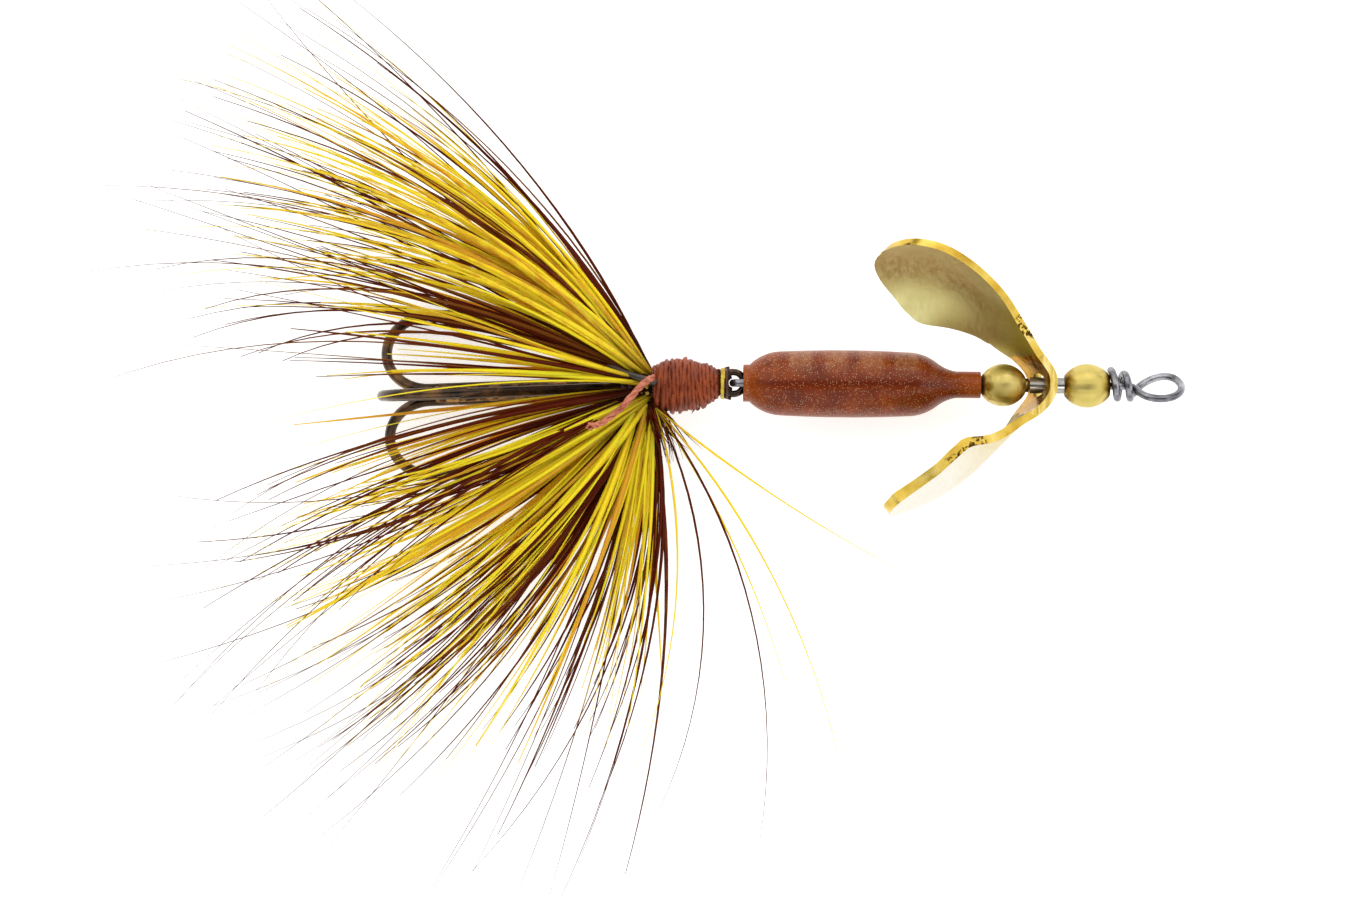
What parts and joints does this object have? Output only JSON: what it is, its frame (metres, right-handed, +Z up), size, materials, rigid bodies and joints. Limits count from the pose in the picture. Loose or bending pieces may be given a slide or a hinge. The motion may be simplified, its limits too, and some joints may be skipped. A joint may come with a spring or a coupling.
{
  "type": "inline spinner",
  "caption": "Fishing lure on one wire: line eye, beads, twin spinner blade on a sleeve, weighted tapered body, and a treble hook dressed with feather hackle.",
  "frame": {"origin": "middle of the line eye, on the shaft wire's line", "axes": "+X towards the line eye along the shaft wire, +Z up with the lure lying level on two hook points, +Y to the side"},
  "size_m": [0.075, 0.0604, 0.0317],
  "materials": {
    "stainless_wire": "bright drawn wire",
    "bead_brass": "satin gold",
    "nickel_sleeve": "satin",
    "blade_brass": "satin gold with polished edges",
    "cast_metal": "as cast",
    "amber_coat": "glossy translucent lacquer with glitter",
    "bronze_hook": "bronze-brown plating",
    "hook_braze": "brazed fillet",
    "rust_thread": "lacquered thread",
    "yellow_thread": "waxed thread",
    "dark_thread": "lacquered thread",
    "salmon_thread": "twisted thread",
    "yellow_feather": "feather barbs",
    "brown_feather": "feather barbs"
  },
  "bodies": {
    "lure_body": {"shaft_wire": "stainless_wire", "body_core": "cast_metal", "body_coating": "amber_coat"},
    "front_bead": {"front_bead": "bead_brass"},
    "rear_bead": {"rear_bead": "bead_brass"},
    "sleeve": {"bearing_sleeve": "nickel_sleeve"},
    "blade": {"twin_blade": "blade_brass"},
    "hook": {"double_hook": "bronze_hook", "third_hook": "bronze_hook", "hook_braze": "hook_braze", "tying_thread": "rust_thread", "yellow_thread": "yellow_thread", "eye_wrap": "dark_thread", "yellow_quill": "yellow_feather", "brown_quill": "brown_feather", "thread_tag": "salmon_thread", "yellow_hackle_01": "yellow_feather", "yellow_hackle_02": "yellow_feather", "yellow_hackle_03": "yellow_feather", "yellow_hackle_04": "yellow_feather", "yellow_hackle_05": "yellow_feather", "yellow_hackle_06": "yellow_feather", "yellow_hackle_07": "yellow_feather", "yellow_hackle_08": "yellow_feather", "yellow_hackle_09": "yellow_feather", "brown_hackle_01": "brown_feather", "brown_hackle_02": "brown_feather", "brown_hackle_03": "brown_feather", "brown_hackle_04": "brown_feather", "brown_hackle_05": "brown_feather", "brown_hackle_06": "brown_feather", "brown_hackle_07": "brown_feather", "brown_hackle_08": "brown_feather", "brown_hackle_09": "brown_feather", "brown_hackle_10": "brown_feather", "brown_hackle_11": "brown_feather", "brown_hackle_12": "brown_feather"}
  },
  "joints": [
    {"name": "front_bead_spin", "type": "hinge", "parent": "lure_body", "child": "front_bead", "pos_m": [-0.00519, 0, 0], "axis": [1, 0, 0], "continuous": true},
    {"name": "rear_bead_spin", "type": "hinge", "parent": "lure_body", "child": "rear_bead", "pos_m": [-0.0113, 0, 0], "axis": [1, 0, 0], "continuous": true},
    {"name": "sleeve_spin", "type": "hinge", "parent": "lure_body", "child": "sleeve", "pos_m": [-0.00813, 0, 0], "axis": [1, 0, 0], "continuous": true},
    {"name": "blade_rock", "type": "hinge", "parent": "sleeve", "child": "blade", "pos_m": [-0.00815, 0, 0], "axis": [0, 0.9969, -0.0785], "range_deg": [-49, 0]},
    {"name": "hook_swing", "type": "hinge", "parent": "lure_body", "child": "hook", "pos_m": [-0.03095, 0, 0], "axis": [0, 0, 1], "range_deg": [-45, 45]}
  ]
}
